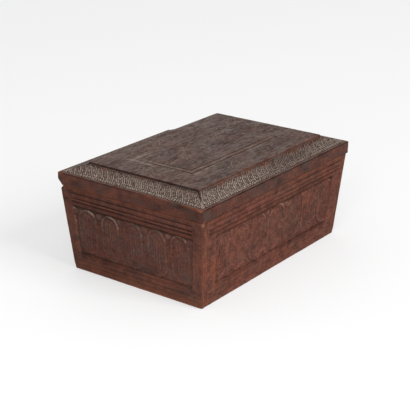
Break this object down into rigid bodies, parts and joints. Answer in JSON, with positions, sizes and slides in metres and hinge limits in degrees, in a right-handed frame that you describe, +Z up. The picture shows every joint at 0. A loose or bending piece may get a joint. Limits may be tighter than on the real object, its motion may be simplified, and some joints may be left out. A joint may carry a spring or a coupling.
{
  "type": "wooden box",
  "caption": "Carved hardwood box with outward-leaning sides, petal-carved panels and a hinged lid with a raised panel, for papers and keepsakes.",
  "frame": {"origin": "middle of the underside, on the surface that the box stands on", "axes": "+X along the front from left to right, +Y from front to back (hinges at +Y), +Z up"},
  "size_m": [0.32, 0.223, 0.1407],
  "materials": {
    "carved_wood": "waxed, worn",
    "lid_wood": "worn, dry",
    "bottom_wood": "bare",
    "peg_wood": "bare",
    "hinge_brass": "tarnished",
    "pin_brass": "tarnished",
    "screw_brass": "tarnished"
  },
  "bodies": {
    "box": {"front_board": "carved_wood", "back_board": "carved_wood", "left_end_board": "carved_wood", "right_end_board": "carved_wood", "bottom_board": "bottom_wood", "bottom_pegs": "peg_wood", "left_hinge_box_leaf": "hinge_brass", "right_hinge_box_leaf": "hinge_brass", "left_hinge_pin": "pin_brass", "right_hinge_pin": "pin_brass", "hinge_box_screws": "screw_brass"},
    "lid": {"lid_front_rail": "lid_wood", "lid_back_rail": "lid_wood", "lid_left_rail": "lid_wood", "lid_right_rail": "lid_wood", "lid_panel": "lid_wood", "left_hinge_lid_leaf": "hinge_brass", "right_hinge_lid_leaf": "hinge_brass", "hinge_lid_screws": "screw_brass"}
  },
  "joints": [
    {"name": "lid_hinge", "type": "hinge", "parent": "box", "child": "lid", "pos_m": [0, 0.105, 0.11315], "axis": [-1, 0, 0], "range_deg": [0, 95]}
  ]
}
